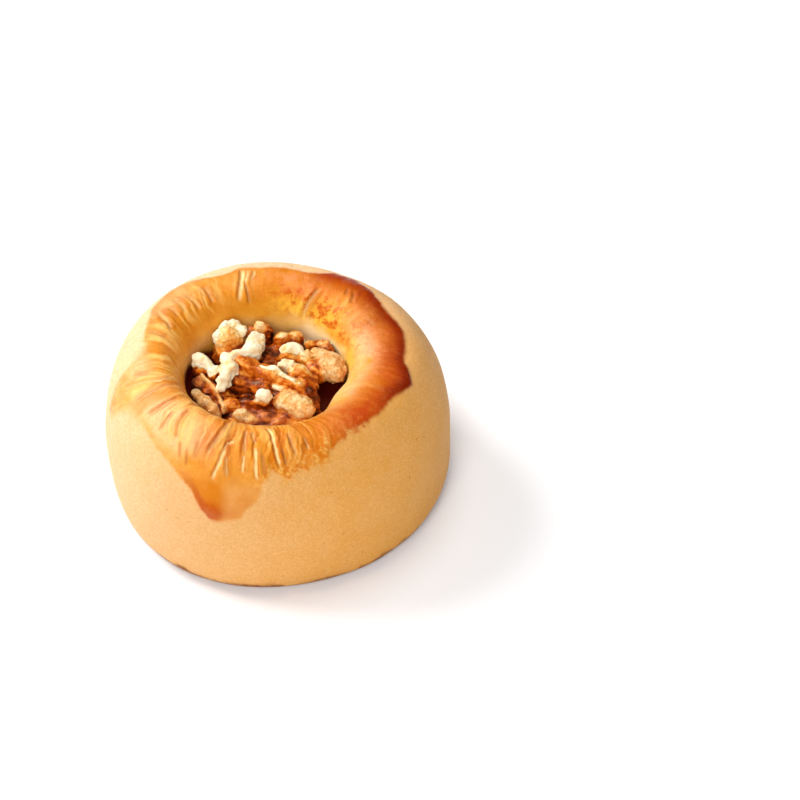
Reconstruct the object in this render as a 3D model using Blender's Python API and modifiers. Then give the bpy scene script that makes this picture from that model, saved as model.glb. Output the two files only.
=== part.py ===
"""A baked walnut manju: a drum-shaped bun with a dish pressed into its top, filled with broken walnut.

Run with: blender --background --python part.py
Metres, +Z up. The origin is the centre of the flat foot, and -Y is the front.
"""

import math
import random

import bmesh
import bpy
from mathutils import Matrix, Vector, noise

MM = 0.001

# Bun: half outline of the turned shape.
HEIGHT = 29.5 * MM
WIDE_RADIUS = 30.0 * MM
WIDE_HEIGHT = 11.0 * MM
FOOT_RADIUS = 25.5 * MM
CREST_RADIUS = 20.2 * MM
SHOULDER_POWER = 2.3
FOOT_POWER = 3.6
LEAN = Vector((-0.1 * MM, 1.5 * MM, 0.0))

# Dish in the top, which holds the walnut.
DISH_RADIUS = 14.2 * MM
DISH_FLOOR_RADIUS = 9.5 * MM
DISH_FLOOR_HEIGHT = 19.0 * MM
DISH_WALL_HEIGHT = 21.5 * MM
DISH_SHIFT = Vector((-1.4 * MM, 0.55 * MM, 0.0))

# Handmade unevenness: (waves round the bun, share of the radius, azimuth of a crest in degrees).
SIDE_WAVES = ((2, 0.024, 2), (3, 0.016, 2), (5, 0.002, 20))
FOOT_WAVES = ((1, 0.023, 313), (2, 0.008, 81))
CREST_WAVES = ((1, 0.35 * MM, 250), (2, 0.3 * MM, 40), (5, 0.15 * MM, 100))

# Creases that run across the ring: (azimuth in degrees, slant in degrees, depth).
MAIN_CREASES = (
    (63, -3, 0.42 * MM), (107, -5, 0.42 * MM), (128, 3, 0.38 * MM), (137, 4, 0.32 * MM),
    (144, -4, 0.32 * MM), (158, -12, 0.34 * MM), (201, -9, 0.42 * MM), (217, -4, 0.45 * MM),
    (227, 5, 0.40 * MM), (240, -3, 0.25 * MM), (248, -4, 0.55 * MM), (259, 2, 0.30 * MM),
    (262, 4, 0.35 * MM), (270, 5, 0.38 * MM), (279, 4, 0.35 * MM), (286, 3, 0.22 * MM),
)
FINE_CREASES = 24
FINE_CREASES_FROM = math.radians(112)
FINE_CREASES_TO = math.radians(298)
FINE_CREASE_DEPTH = 0.22 * MM
CREASE_HALF_WIDTH = 0.55 * MM
CREASE_INNER_ANGLE = math.radians(-50)
CREASE_OUTER_ANGLE = math.radians(62)
PUCKER_DEPTH = 0.22 * MM
PUCKERS_ROUND = 13.0

# Walnut: each lobe is (centre, radii, yaw in degrees), in millimetres.
KERNEL_LOBES = (
    # the ridge across the middle, and the slope in front of it
    ((-5.2, 2.2, 24.3), (3.1, 1.9, 2.1), -30),
    ((-1.3, 0.2, 24.3), (3.7, 1.8, 2.4), -33),
    ((2.2, -1.9, 24.0), (3.4, 1.9, 2.3), -33),
    ((-6.3, 0.3, 22.7), (2.7, 2.3, 1.9), -20),
    ((-2.6, -1.6, 22.7), (3.5, 1.8, 2.0), -25),
    ((1.2, -3.2, 22.3), (3.2, 1.7, 2.0), -25),
    # behind the ridge
    ((2.2, 2.1, 24.8), (2.3, 1.2, 1.2), -12),
    ((4.3, 0.8, 24.3), (2.2, 1.7, 1.6), -30),
    ((6.9, 2.4, 23.2), (2.2, 2.1, 2.1), -30),
    ((5.1, 4.7, 24.1), (1.6, 1.3, 1.7), 0),
    ((2.6, 6.0, 25.1), (2.1, 1.3, 1.6), -8),
    ((2.0, 4.6, 24.1), (1.7, 1.1, 1.4), -8),
    ((2.4, 5.2, 22.4), (3.0, 2.6, 2.4), 0),
    ((0.8, 9.6, 24.1), (1.5, 1.2, 1.7), 10),
    ((3.1, 9.9, 23.9), (1.6, 1.3, 1.8), -15),
    ((2.0, 8.7, 22.0), (3.0, 2.0, 2.2), 0),
    # right: its front end, and the lobe over the hollow beside it
    ((5.0, -1.1, 23.2), (2.6, 2.2, 2.3), -35),
    ((5.5, -3.3, 22.2), (2.3, 2.2, 2.4), -30),
    ((6.2, -4.9, 21.2), (1.8, 1.9, 2.0), 0),
    ((9.5, 3.2, 23.9), (3.6, 2.5, 2.4), -44),
    ((7.3, 5.4, 24.1), (2.0, 1.6, 1.8), -20),
    ((8.2, 5.0, 21.6), (3.0, 2.0, 2.2), -30),
    # front
    ((3.3, -6.1, 23.6), (4.1, 2.3, 2.2), -30),
    ((3.0, -6.5, 21.4), (3.6, 2.3, 2.1), -20),
    ((-2.1, -4.6, 24.1), (1.5, 1.3, 1.9), 0),
    ((-2.2, -4.9, 22.4), (1.7, 1.6, 1.6), 0),
    ((-7.8, -4.8, 22.0), (1.9, 1.7, 1.6), 0),
    ((-5.9, -7.3, 22.0), (1.5, 1.2, 1.4), 0),
    ((-4.1, -8.1, 21.7), (1.2, 1.0, 1.2), 0),
    ((-1.7, -7.6, 21.6), (1.7, 1.3, 1.4), 0),
    ((1.1, -8.5, 21.5), (2.0, 1.1, 1.3), 0),
    ((-4.7, -4.5, 21.9), (2.0, 1.6, 1.7), 0),
    ((-7.2, -9.4, 21.0), (2.1, 1.6, 1.5), -35),
    ((-3.2, -10.7, 21.1), (2.3, 1.4, 1.5), 0),
    ((1.2, -10.9, 21.0), (2.1, 1.4, 1.4), 10),
    ((5.0, -9.4, 21.2), (2.2, 1.6, 1.5), 35),
    ((7.6, -7.0, 20.8), (1.7, 1.8, 1.4), 0),
    # left
    ((-13.6, 1.2, 21.7), (1.3, 1.6, 1.5), 0),
    ((-11.4, -1.5, 21.9), (2.0, 2.3, 1.8), -20),
    # the low mass that carries them
    ((-1.2, 7.2, 22.0), (2.4, 2.8, 1.8), 0),
    ((-0.8, 1.4, 21.4), (7.2, 6.6, 2.2), -10),
    ((-2.5, -5.4, 20.7), (7.6, 3.8, 2.0), 0),
    ((-1.2, -8.6, 20.3), (8.0, 3.6, 1.6), 0),
    ((-10.4, -1.8, 20.9), (3.4, 3.6, 1.9), 0),
)
KNOB_LOBES = (
    ((-8.6, 9.4, 24.1), (2.8, 2.7, 2.9), 90),
    ((-10.9, 9.4, 25.0), (0.9, 1.1, 1.3), 0),
    ((-9.5, 11.2, 26.0), (1.1, 1.0, 1.0), 0),
    ((-7.7, 11.5, 26.1), (1.3, 0.9, 1.0), 0),
    ((-8.7, 8.2, 21.6), (3.0, 2.8, 2.4), 0),
    # the broken wall, from the knob to the tooth at its front end
    ((-3.6, 7.8, 25.2), (1.6, 1.4, 2.5), 0),
    ((-4.5, 5.6, 25.1), (2.0, 1.5, 1.9), 35),
    ((-6.6, 4.5, 25.0), (2.1, 1.2, 1.6), 10),
    ((-8.8, 3.7, 24.8), (1.5, 1.3, 1.6), 0),
    ((-8.3, 1.4, 24.8), (1.9, 1.9, 1.9), 0),
    ((-9.0, -0.6, 24.3), (1.5, 1.5, 1.7), 20),
    ((-6.2, 6.2, 22.2), (4.2, 3.0, 2.6), 10),
    ((-8.7, 1.2, 22.3), (2.0, 2.6, 2.0), 0),
)
LEFT_LOBES = (
    ((-13.1, 4.0, 23.9), (2.1, 1.5, 2.0), -30),
    ((-13.7, 4.8, 24.1), (1.2, 1.2, 1.4), 0),
    ((-11.1, 2.2, 23.2), (1.4, 1.6, 1.8), -20),
    ((-12.4, 3.2, 21.4), (2.4, 2.2, 2.2), -20),
)
BACK_LOBES = (
    ((-3.0, 12.1, 24.4), (1.5, 1.2, 1.7), 0),
    ((-1.7, 11.5, 23.7), (1.1, 1.2, 1.8), 0),
    ((-4.9, 12.5, 23.2), (1.0, 0.9, 1.4), 0),
    ((-2.9, 11.3, 21.7), (2.4, 1.8, 2.2), 0),
)
BACK_RIGHT_LOBES = (
    ((7.7, 8.2, 23.3), (2.5, 1.3, 1.6), -20),
    ((6.0, 8.3, 23.5), (1.2, 1.1, 1.5), 0),
    ((9.1, 7.3, 23.1), (1.3, 1.1, 1.5), 0),
    ((7.4, 8.0, 21.3), (2.8, 1.7, 2.0), -20),
)
LOW_LEFT_LOBES = (
    ((-13.6, -2.5, 22.1), (1.7, 1.2, 1.3), -52),
    ((-12.3, -4.3, 22.1), (2.1, 1.3, 1.4), -52),
    ((-10.9, -6.1, 22.1), (1.8, 1.3, 1.4), -50),
    ((-12.1, -4.3, 20.8), (3.4, 1.6, 1.5), -50),
)
FURROW_DEPTH = 0.5 * MM
FURROW_SIZE = 2.2 * MM
GAP = 0.45 * MM

# Mesh density.
TURN_STEPS = 240
BUN_TRIANGLES = 5200
VOXEL = 0.4 * MM
KERNEL_TRIANGLES = 2600
KNOB_TRIANGLES = 900
PIECE_TRIANGLES = 400

SEED = 7


def clear_scene():
    for old in list(bpy.data.objects):
        bpy.data.objects.remove(old, do_unlink=True)


def new_collection(name):
    made = bpy.data.collections.new(name)
    bpy.context.scene.collection.children.link(made)
    return made


def plain_material(name, colour, roughness):
    material = bpy.data.materials.new(name)
    material.use_nodes = True
    shader = material.node_tree.nodes["Principled BSDF"]
    shader.inputs["Base Color"].default_value = (*colour, 1.0)
    shader.inputs["Roughness"].default_value = roughness
    shader.inputs["Metallic"].default_value = 0.0
    return material


def add_object(name, mesh, collection):
    made = bpy.data.objects.new(name, mesh)
    collection.objects.link(made)
    return made


def evaluated_mesh(obj):
    bpy.context.view_layer.update()
    graph = bpy.context.evaluated_depsgraph_get()
    return bpy.data.meshes.new_from_object(obj.evaluated_get(graph))


def superellipse(centre, radii, power, start, stop, count):
    """Points (radius, height) on a superellipse from one angle to another, in degrees."""
    points = []
    for i in range(count):
        t = math.radians(start + (stop - start) * i / (count - 1))
        across = math.copysign(abs(math.cos(t)) ** (2 / power), math.cos(t))
        up = math.copysign(abs(math.sin(t)) ** (2 / power), math.sin(t))
        points.append((centre[0] + radii[0] * across, centre[1] + radii[1] * up))
    return points


def bun_profile():
    """From the middle of the dish over the crest and down the side to the middle of the foot."""
    corner = superellipse(
        (DISH_FLOOR_RADIUS, DISH_WALL_HEIGHT),
        (DISH_RADIUS - DISH_FLOOR_RADIUS, DISH_WALL_HEIGHT - DISH_FLOOR_HEIGHT), 2, -90, 0, 6)
    lip = superellipse(
        (CREST_RADIUS, DISH_WALL_HEIGHT),
        (CREST_RADIUS - DISH_RADIUS, HEIGHT - DISH_WALL_HEIGHT), 2, 180, 90, 15)
    shoulder = superellipse(
        (CREST_RADIUS, WIDE_HEIGHT),
        (WIDE_RADIUS - CREST_RADIUS, HEIGHT - WIDE_HEIGHT), SHOULDER_POWER, 90, 0, 22)
    foot = superellipse(
        (FOOT_RADIUS, WIDE_HEIGHT),
        (WIDE_RADIUS - FOOT_RADIUS, WIDE_HEIGHT), FOOT_POWER, 0, -90, 12)
    middle_of_dish = [(0.0, DISH_FLOOR_HEIGHT), (DISH_FLOOR_RADIUS / 2, DISH_FLOOR_HEIGHT)]
    middle_of_foot = [(FOOT_RADIUS / 2, 0.0), (0.0, 0.0)]
    return middle_of_dish + corner + lip[1:] + shoulder[1:] + foot[1:] + middle_of_foot


def dish_space_profile():
    """The room in the dish, kept a gap clear of its wall and floor, up to well above the crest."""
    floor = DISH_FLOOR_HEIGHT + GAP
    wall = DISH_RADIUS - GAP
    corner = superellipse(
        (DISH_FLOOR_RADIUS, DISH_WALL_HEIGHT + GAP),
        (wall - DISH_FLOOR_RADIUS, DISH_WALL_HEIGHT - DISH_FLOOR_HEIGHT), 2, 0, -90, 8)
    top = 2 * HEIGHT - DISH_WALL_HEIGHT
    return [(0.0, top), (wall, top)] + corner + [(0.0, floor)]


def turned(name, profile, steps, collection):
    """The solid that a half outline, listed from its top to its bottom, makes round the Z axis."""
    mesh = bpy.data.meshes.new(name)
    edges = [(i, i + 1) for i in range(len(profile) - 1)]
    mesh.from_pydata([(radius, 0.0, height) for radius, height in profile], edges, [])
    obj = add_object(name, mesh, collection)
    screw = obj.modifiers.new("turn", "SCREW")
    screw.steps = screw.render_steps = steps
    screw.use_merge_vertices = True
    screw.merge_threshold = 0.00001
    return obj


def waves(table, azimuth):
    return sum(size * math.cos(count * (azimuth - math.radians(at))) for count, size, at in table)


def all_creases():
    """(azimuth, slant, depth) of each crease: the main ones, then fine ones, seeded, on the left and front."""
    rng = random.Random(SEED)
    creases = [(math.radians(a), math.radians(s), d) for a, s, d in MAIN_CREASES]
    for i in range(FINE_CREASES):
        share = (i + rng.uniform(0.1, 0.9)) / FINE_CREASES
        azimuth = FINE_CREASES_FROM + share * (FINE_CREASES_TO - FINE_CREASES_FROM)
        slant = math.radians(rng.uniform(-8, 8))
        creases.append((azimuth, slant, FINE_CREASE_DEPTH * rng.uniform(0.5, 1.0)))
    return creases


def ring_angle(radius, height):
    """Angle round the ring's own section: 0 on the crest, positive towards the outside."""
    return math.atan2(radius - CREST_RADIUS, height - DISH_WALL_HEIGHT)


def ring_relief(azimuth, radius, height, creases):
    """How far the ring's skin sinks at a place, from its creases and softer puckers."""
    angle = ring_angle(radius, height)
    if not CREASE_INNER_ANGLE < angle < CREASE_OUTER_ANGLE or height < DISH_WALL_HEIGHT:
        return 0.0
    middle = (CREASE_INNER_ANGLE + CREASE_OUTER_ANGLE) / 2
    reach = (CREASE_OUTER_ANGLE - CREASE_INNER_ANGLE) / 2
    fade = math.cos((angle - middle) / reach * math.pi / 2)
    sunk = 0.0
    for at, slant, depth in creases:
        turn = math.remainder(azimuth - at - slant * angle, math.tau)
        across = turn * radius / CREASE_HALF_WIDTH
        if abs(across) < 3:
            sunk += depth * math.exp(-across * across)
    spot = Vector((math.cos(azimuth), math.sin(azimuth), 0.12 * angle)) * PUCKERS_ROUND / 2
    return fade * (sunk + PUCKER_DEPTH * noise.noise(spot))


def leant(radius, height):
    """The sideways shift of a place: the shoulder leans a little and the dish sits off centre."""
    inside = min(1.0, max(0.0, (CREST_RADIUS - radius) / (CREST_RADIUS - DISH_RADIUS)))
    if height > DISH_FLOOR_HEIGHT - 1e-6 and inside > 0:
        return LEAN.lerp(DISH_SHIFT, inside)
    return LEAN * max(0.0, (height - WIDE_HEIGHT) / (HEIGHT - WIDE_HEIGHT))


def shaped(point, creases):
    """Moves a point of the turned bun to where it is on the uneven, creased one."""
    radius = math.hypot(point.x, point.y)
    if radius < 1e-7:
        return point + leant(radius, point.z)
    azimuth = math.atan2(point.y, point.x)
    sunk = ring_relief(azimuth, radius, point.z, creases)
    angle = ring_angle(radius, point.z)
    side = min(1.0, radius / CREST_RADIUS)
    above = max(0.0, (point.z - DISH_FLOOR_HEIGHT) / (HEIGHT - DISH_FLOOR_HEIGHT))
    rim = max(0.0, 1 - abs(radius - CREST_RADIUS) / (WIDE_RADIUS - CREST_RADIUS))
    below = max(0.0, 1 - point.z / WIDE_HEIGHT) if radius > FOOT_RADIUS / 2 else 1.0
    grown = 1 + waves(SIDE_WAVES, azimuth) * side ** 4 + waves(FOOT_WAVES, azimuth) * below
    out = radius * grown - sunk * math.sin(angle)
    up = point.z + waves(CREST_WAVES, azimuth) * above * rim - sunk * math.cos(angle)
    return Vector((out * math.cos(azimuth), out * math.sin(azimuth), up)) + leant(radius, point.z)


def decimate(obj, triangles):
    """Adds a Decimate modifier that leaves about this many triangles, most where the relief is."""
    obj.data.calc_loop_triangles()
    modifier = obj.modifiers.new("coarse", "DECIMATE")
    modifier.ratio = min(1.0, triangles / len(obj.data.loop_triangles))
    modifier.use_collapse_triangulate = True


def centred(mesh):
    """Shifts a mesh level, so that the middle of its outer box is on the Z axis. Returns the shift."""
    low = [min(v.co[k] for v in mesh.vertices) for k in range(2)]
    high = [max(v.co[k] for v in mesh.vertices) for k in range(2)]
    shift = Vector((-(low[0] + high[0]) / 2, -(low[1] + high[1]) / 2, 0.0))
    mesh.transform(Matrix.Translation(shift))
    return shift


def make_bun(collection, material):
    """The bun, and how far it was shifted to put its box on the axis."""
    blank = turned("bun_blank", bun_profile(), TURN_STEPS, collection)
    mesh = evaluated_mesh(blank)
    bpy.data.objects.remove(blank, do_unlink=True)
    creases = all_creases()
    for vertex in mesh.vertices:
        vertex.co = shaped(vertex.co, creases)
    shift = centred(mesh)
    bun = add_object("bun", mesh, collection)
    mesh.materials.append(material)
    mesh.shade_smooth()
    decimate(bun, BUN_TRIANGLES)
    return bun, shift


def lobe_matrix(lobe, grow):
    centre, radii, yaw = lobe
    size = [radius * MM + grow for radius in radii]
    place = Matrix.Translation(Vector(centre) * MM)
    return place @ Matrix.Rotation(math.radians(yaw), 4, "Z") @ Matrix.Diagonal((*size, 1.0))


def furrowed(point):
    """Sinks a point of a walnut's skin into the folds that cover it."""
    spot = point / FURROW_SIZE
    fold = noise.noise(spot) + 0.5 * noise.noise(spot * 2.1)
    return FURROW_DEPTH * (abs(fold) - 0.35)


def fuse(obj):
    """Replaces a mesh at once with one even, closed skin round it."""
    remesh = obj.modifiers.new("fuse", "REMESH")
    remesh.mode = "VOXEL"
    remesh.voxel_size = VOXEL
    mesh = evaluated_mesh(obj)
    obj.modifiers.clear()
    obj.data = mesh


def fused_lobes(name, lobes, grow, collection):
    """One closed mesh round overlapping lobes, with walnut folds in its skin."""
    mesh = bpy.data.meshes.new(name)
    shell = bmesh.new()
    for lobe in lobes:
        bmesh.ops.create_icosphere(shell, subdivisions=4, radius=1.0, matrix=lobe_matrix(lobe, grow))
    shell.to_mesh(mesh)
    shell.free()
    obj = add_object(name, mesh, collection)
    fuse(obj)
    for vertex in obj.data.vertices:
        vertex.co += vertex.normal * furrowed(vertex.co)
    fuse(obj)
    return obj


def cut(obj, tool, operation):
    """Applies a Boolean at once, so that a later step starts from the result."""
    boolean = obj.modifiers.new(operation.lower(), "BOOLEAN")
    boolean.operation = operation
    boolean.solver = "EXACT"
    boolean.object = tool
    mesh = evaluated_mesh(obj)
    obj.modifiers.clear()
    obj.data = mesh


def make_walnut(name, lobes, earlier, space, triangles, collection, material):
    """A piece of walnut inside the dish, a gap clear of the pieces laid in before it."""
    piece = fused_lobes(name, lobes, 0.0, collection)
    cut(piece, space, "INTERSECT")
    for tool in earlier:
        cut(piece, tool, "DIFFERENCE")
    fuse(piece)
    piece.data.materials.clear()
    piece.data.materials.append(material)
    piece.data.shade_smooth()
    decimate(piece, triangles)


def make_walnuts(shift, collection, cutters, material):
    space = turned("dish_space", dish_space_profile(), 96, cutters)
    space.location = DISH_SHIFT + shift
    space.hide_render = True
    space.display_type = "WIRE"
    earlier = []
    for name, lobes, triangles in (
        ("walnut_knob", KNOB_LOBES, KNOB_TRIANGLES),
        ("walnut_kernel", KERNEL_LOBES, KERNEL_TRIANGLES),
        ("walnut_left", LEFT_LOBES, PIECE_TRIANGLES),
        ("walnut_back", BACK_LOBES, PIECE_TRIANGLES),
        ("walnut_back_right", BACK_RIGHT_LOBES, PIECE_TRIANGLES),
        ("walnut_low_left", LOW_LEFT_LOBES, PIECE_TRIANGLES),
    ):
        make_walnut(name, lobes, earlier, space, triangles, collection, material)
        tool = fused_lobes(name + "_cutter", lobes, GAP, cutters)
        tool.hide_render = True
        tool.display_type = "WIRE"
        earlier.append(tool)


def main():
    clear_scene()
    parts = new_collection("walnut_manju")
    cutters = new_collection("cutters")
    dough = plain_material("dough", (0.80, 0.50, 0.20), 0.6)
    walnut = plain_material("walnut", (0.55, 0.33, 0.16), 0.5)
    _bun, shift = make_bun(parts, dough)
    make_walnuts(shift, parts, cutters, walnut)


main()
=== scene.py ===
"""The looks of a baked walnut manju on a pale floor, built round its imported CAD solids."""

import math

import bpy
import numpy as np
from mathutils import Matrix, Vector


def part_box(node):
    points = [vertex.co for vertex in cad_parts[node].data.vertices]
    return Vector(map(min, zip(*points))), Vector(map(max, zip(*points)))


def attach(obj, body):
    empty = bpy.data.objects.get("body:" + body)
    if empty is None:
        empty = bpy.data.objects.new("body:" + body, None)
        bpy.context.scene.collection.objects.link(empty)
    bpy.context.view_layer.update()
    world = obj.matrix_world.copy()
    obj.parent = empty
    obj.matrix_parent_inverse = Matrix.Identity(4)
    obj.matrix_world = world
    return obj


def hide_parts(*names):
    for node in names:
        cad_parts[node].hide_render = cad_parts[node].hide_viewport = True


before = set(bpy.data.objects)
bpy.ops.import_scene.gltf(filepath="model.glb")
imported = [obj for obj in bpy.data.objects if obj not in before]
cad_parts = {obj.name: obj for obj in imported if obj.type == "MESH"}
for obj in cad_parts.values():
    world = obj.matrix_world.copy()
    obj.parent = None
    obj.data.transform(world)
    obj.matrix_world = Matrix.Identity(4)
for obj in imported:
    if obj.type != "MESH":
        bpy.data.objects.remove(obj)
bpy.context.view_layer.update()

MM = 0.001
TAU = math.tau

# -------- shape of the bun, in millimetres
HEIGHT, WIDE_RADIUS, WIDE_HEIGHT, FOOT_RADIUS, CREST_RADIUS = 29.5, 30.0, 11.0, 25.5, 20.2
SHOULDER_POWER, FOOT_POWER = 2.3, 3.6
DISH_RADIUS, DISH_FLOOR_RADIUS, DISH_FLOOR, DISH_WALL = 14.2, 9.5, 19.0, 21.5
LEAN, DISH_SHIFT = (-0.1, 1.5), (-1.4, 0.55)  # of the crest and of the dish, off the axis of the foot
AXIS = (-0.47, 0.0)  # where the middle of the whole outline puts the axis of the foot
# Unevenness: (waves in a turn, size in mm for the crest or as a share of the radius, azimuth of one wave)
SIDE_WAVES = ((2, 0.024, 2), (3, 0.016, 2), (5, 0.002, 20))
FOOT_WAVES = ((1, 0.023, 313), (2, 0.008, 81))
CREST_WAVES = ((1, 0.35, 250), (2, 0.3, 40), (5, 0.15, 100))

# Arc lengths along the half outline, from the middle of the dish, between which the grid is finest.
RING_START, RING_END = 14.0, 46.0

# Creases in the ring: ((azimuth, arc length), ...), half width, depth, paleness, side on which shade is
# painted.
CREASES = (
    (((213, 32.0), (215.5, 28.8), (216.5, 25.5)), 0.25, 0.50, 0.30, 1),
    (((231, 32.0), (228, 29.3), (227, 26.0)), 0.26, 0.45, 0.20, 1),
    (((245, 32.0), (248, 28.2), (249, 24.6)), 0.42, 0.60, 0.55, -1),
    (((249, 36.0), (251, 32.7), (252, 30.2)), 0.42, 0.30, 1.00, -1),
    (((251.5, 30.8), (252, 29.6), (255, 28.9)), 0.28, 0.30, 0.75, -1),
    (((254.5, 35.0), (253, 31.5)), 0.30, 0.22, 0.35, 1),
    (((260, 34.0), (260, 30.9)), 0.34, 0.25, 0.85, 1),
    (((260, 30.9), (258.5, 26.4)), 0.40, 0.28, 0.30, 1),
    (((265.5, 35.2), (264.2, 29.3)), 0.40, 0.32, 1.00, 1),
    (((264.2, 29.3), (261.5, 26.8)), 0.34, 0.26, 0.35, 1),
    (((274.5, 33.4), (272, 28.0), (269, 25.0)), 0.40, 0.34, 0.95, -1),
    (((268.5, 34.3), (267, 30.5)), 0.34, 0.26, 0.10, 1),
    (((277, 33.0), (275.5, 29.6)), 0.30, 0.24, 0.15, -1),
    (((281.5, 31.4), (280, 28.9), (279, 26.8)), 0.40, 0.34, 0.25, -1),
    (((287, 30.8), (286, 28.4)), 0.34, 0.20, 0.35, 1),
    (((235.5, 34.4), (233, 31.6)), 0.24, 0.22, 0.10, 1),
    (((238.5, 35.0), (237, 32.2)), 0.24, 0.24, 0.10, 1),
    (((241, 33.4), (240, 30.4)), 0.30, 0.16, 0.10, 1),
    (((222.5, 32.5), (222, 28.0)), 0.22, 0.30, 0.15, 1),
    (((193, 34.0), (198, 29.6), (201.5, 26.6), (200, 22.6)), 0.40, 0.42, 0.55, 1),
    (((190, 31.0), (195.5, 28.4), (198, 26.0)), 0.22, 0.30, 0.30, 1),
    (((204, 32.5), (206, 28.0), (206, 23.6)), 0.24, 0.28, 0.25, 1),
    (((153, 29.2), (157, 27.0), (161, 24.4)), 0.55, 0.34, 0.45, -1),
    (((161, 27.4), (162, 24.2)), 0.40, 0.26, 0.20, -1),
    (((168, 28.6), (170, 24.6)), 0.50, 0.20, 0.15, -1),
    (((143, 28.8), (145, 24.4)), 0.50, 0.32, 0.25, -1),
    (((149, 28.0), (151, 24.8)), 0.45, 0.22, 0.15, -1),
    (((138, 27.8), (136, 23.2)), 0.50, 0.32, 0.25, -1),
    (((131, 27.4), (130, 24.6)), 0.40, 0.22, 0.15, -1),
    (((128, 27.2), (126.5, 23.0)), 0.42, 0.38, 0.30, -1),
    (((106, 28.2), (108, 24.8), (110, 21.6)), 0.50, 0.40, 1.00, 1),
    (((106, 25.4), (103, 20.8)), 0.30, 0.36, 0.30, 1),
    (((103.5, 27.6), (106, 24.4)), 0.34, 0.22, 0.60, 1),
    (((100.5, 27.4), (102.5, 25.0)), 0.34, 0.20, 0.55, -1),
    (((63, 25.0), (65, 21.8), (65.5, 19.0)), 0.45, 0.42, 0.45, -1),
    (((46, 26.8), (41, 24.6)), 0.34, 0.30, 0.05, 1),
    (((50, 27.0), (47.5, 25.4)), 0.30, 0.20, 0.10, 1),
    (((30, 23.0), (20, 24.0)), 0.26, 0.14, 0.10, 1),
    (((28, 24.4), (19, 24.9)), 0.26, 0.14, 0.10, 1),
)

# Outer edge of the glaze: (azimuth, arc length from the middle of the dish).
GLAZE_EDGE = (
    (0, 28.7), (8, 28.6), (14, 28.9), (24, 28.0), (36, 28.6), (53, 31.0), (63, 30.2), (69, 28.2), (74, 27.7),
    (86, 28.3), (98, 28.0), (107, 28.5), (116, 28.2), (123, 28.9), (131, 31.2), (138, 31.8), (146, 31.4),
    (152, 30.9), (159, 29.6), (166, 29.5), (176, 28.8), (182, 29.2), (185, 31.6), (187, 36.4), (189, 39.6),
    (192, 40.4), (196, 39.2), (199, 36.4), (203, 34.2), (210, 33.5), (216, 33.7), (223, 34.6), (231, 35.6),
    (237, 37.4), (242, 39.0), (246, 41.8), (249, 43.4), (252, 43.7), (256, 42.9), (260, 42.4), (262, 40.6),
    (265, 38.8), (269, 35.4), (272, 34.4), (276, 35.1), (281, 34.4), (289, 33.3), (296, 32.0), (304, 30.6),
    (313, 30.5), (322, 29.8), (333, 29.4), (339, 30.6), (344, 31.4), (348, 30.4), (354, 28.7), (360, 28.7),
)

# Bubbles in the glaze: (azimuth, arc length, radius).
BUBBLES = (
    (72.5, 26.9, 0.42), (70.2, 27.5, 0.34), (74.6, 27.3, 0.30),
    (6, 25.0, 0.40), (2, 25.6, 0.36), (358, 25.9, 0.30), (9, 25.9, 0.24),
)

# Soft spots on the skin: (weight, azimuth, its spread in degrees, arc length, its spread).
SPOTS = {
    "pooled": ((1.0, 345, 16, 30, 9), (0.8, 18, 30, 29, 9), (0.10, 240, 12, 38, 8), (0.15, 150, 25, 30, 9)),
    "drop": ((1.3, 250, 3.2, 41.3, 1.5),),
    "tips": ((0.9, 345, 6, 29.8, 1.5), (0.25, 191, 4, 39.0, 1.3)),
    "trail": ((1.0, 247, 9, 40, 7),),
    "lip bulge": ((1.3, 334, 17, 18.5, 3.4),),
    "back crackle": ((0.6, 74, 16, 23.5, 2.6),),
    # lowers the top of the painted shade in the dish; a negative weight raises it
    "dish_shade_lowered": ((0.6, 345, 30, 15, 30), (-0.45, 188, 24, 15, 30)),
    "cream": ((0.75, 338, 20, 18.0, 2.2), (0.25, 158, 34, 17.6, 1.4)),
    "red": ((0.5, 249, 6, 41.5, 3.5), (0.12, 300, 22, 28, 3)),
    # pink patches painted on the back and front left of the crest as the tinge of highlights
    "painted_pink_sheen": ((1.0, 85, 26, 25.5, 2.4), (0.8, 32, 28, 23.6, 1.6), (0.5, 235, 40, 27, 3.5)),
    # painted highlights on the crest and the inner lip
    "painted_sheen": (
        (1.5, 226, 20, 30.0, 3.6), (0.8, 190, 20, 30.0, 2.6), (0.6, 147, 16, 28.6, 2.0),
        (1.5, 5, 22, 22.2, 2.2), (0.8, 326, 18, 22.6, 2.4),
    ),
    "honey": (
        (1.3, 248, 9, 39.5, 4.6), (0.8, 262, 8, 40.0, 3.6),
        (0.9, 266, 21, 28.5, 5.0), (0.8, 142, 26, 20.4, 3.0),
    ),
}

# Heights of the relief.
GLAZE_HEIGHT, BEAD_HEIGHT, DROP_HEIGHT, BUBBLE_HEIGHT = 0.10, 0.05, 0.28, 0.10
LIP_HEIGHT, GROOVE_DEPTH = 0.48, 0.95  # beside a crease and in it, as shares of the crease's depth
PUCKER_HEIGHT, RIPPLE_FRONT, RIPPLE_LEFT = 0.14, 0.13, 0.05
UNDER_ROUGHNESS, UNDER_RECESS = 0.22, 0.42

# -------- walnut lobes, in millimetres
# Tone runs from 0, dark red-brown, to 1, cream; dusk adds the greyish bloom of thin skin; then how furrowed.
DARK, BROWN, AMBER, TAN = (0.12, 0.0, 1.0), (0.27, 0.0, 1.0), (0.45, 0.0, 0.7), (0.56, 0.0, 0.8)
GOLD, BEIGE, CREAM = (0.71, 0.0, 0.3), (0.68, 0.5, 0.8), (1.0, 0.0, 1.0)
MAUVE, PINK, GREY, STRAW = (0.34, 0.35, 0.8), (0.88, 0.3, 1.0), (0.66, 0.5, 0.4), (0.64, 0.8, 0.8)

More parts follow.
